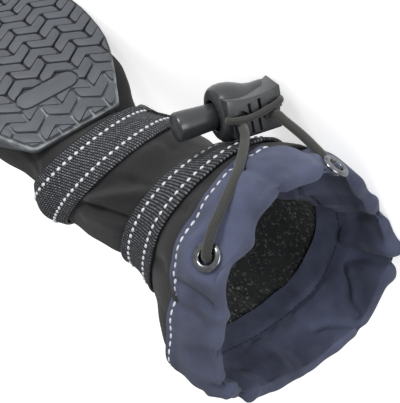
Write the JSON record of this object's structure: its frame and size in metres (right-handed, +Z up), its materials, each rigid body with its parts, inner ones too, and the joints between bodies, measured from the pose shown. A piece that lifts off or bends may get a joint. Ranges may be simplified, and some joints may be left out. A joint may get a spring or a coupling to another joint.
{
  "type": "dog boot",
  "caption": "Soft dog boot with a treaded rubber sole, a slack shaft with webbing straps, and a cuff drawn in by an elastic cord and a cord lock",
  "frame": {"origin": "under the middle of the boot's bounding box without its cord, on the floor that it lies on", "axes": "+X to the toe, +Y to the instep side, with the sole facing -Y, +Z up; the boot lies on its left side"},
  "size_m": [0.1978, 0.0868, 0.0799],
  "materials": {
    "rubber": "matte, lightly worn",
    "shell": "matte softshell",
    "navy": "matte",
    "webbing": "coarse weave with pale flecks",
    "foam": "matte",
    "metal": "dark, polished",
    "plastic": "smooth",
    "elastic": "braided"
  },
  "bodies": {
    "boot": {"outsole": "rubber", "upper": "shell", "insole": "foam", "collar_cuff": "navy", "strap_ankle": "webbing", "strap_ankle_tab": "webbing", "strap_shaft": "webbing", "eyelet_left": "metal", "eyelet_right": "metal", "cord_lock_body": "plastic", "drawcord_left": "elastic", "drawcord_right": "elastic", "drawcord_bar": "elastic"},
    "lock_button": {"cord_lock_button": "plastic"}
  },
  "joints": [
    {"name": "button_press", "type": "slide", "parent": "boot", "child": "lock_button", "axis": [-0.3471, 0.1625, -0.9237], "range_m": [0, 0.0025], "stiffness_N_per_m": 150}
  ]
}
